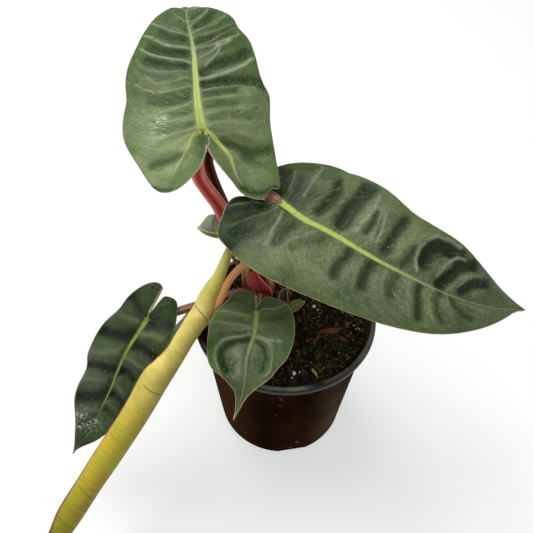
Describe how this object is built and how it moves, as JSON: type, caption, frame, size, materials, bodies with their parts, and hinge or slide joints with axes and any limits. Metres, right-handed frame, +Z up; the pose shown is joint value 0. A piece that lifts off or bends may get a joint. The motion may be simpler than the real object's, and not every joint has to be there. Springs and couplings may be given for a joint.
{
  "type": "potted philodendron plant",
  "caption": "Young philodendron billietiae with long quilted heart-shaped leaves and a rolled new leaf, in a thin round nursery pot.",
  "frame": {"origin": "middle of the pot's flat underside, where it stands", "axes": "+Z up, -Y the front seen in the picture, +X to its right"},
  "size_m": [0.3109, 0.358, 0.274],
  "materials": {
    "blade_green": "satin, quilted between the veins",
    "blade_dark": "glossy, quilted between the veins",
    "blade_pale": "satin",
    "spear": "satin, fine cross lines",
    "petiole_red": "satin, ridged",
    "petiole_dark": "satin, ridged",
    "petiole_rose": "satin, ridged",
    "petiole_orange": "satin, ridged",
    "stem": "rough",
    "sheath_red": "satin",
    "sheath_dry": "dry and matte",
    "growing_mix": "moist and crumbly",
    "pot": "semi-gloss"
  },
  "bodies": {
    "root": {"blade_upper": "blade_green", "petiole_upper": "petiole_red", "blade_right": "blade_green", "petiole_right": "petiole_dark", "blade_hanging": "blade_dark", "petiole_hanging": "petiole_rose", "blade_heart": "blade_green", "petiole_heart": "petiole_rose", "blade_folded": "blade_pale", "petiole_folded": "petiole_rose", "blade_tucked": "blade_pale", "petiole_tucked": "petiole_orange", "spear_leaf": "spear", "petiole_spear": "petiole_orange", "stem": "stem", "sheath_red": "sheath_red", "sheath_dry": "sheath_dry", "seedling": "blade_pale", "growing_mix": "growing_mix", "pot": "pot"}
  },
  "joints": []
}
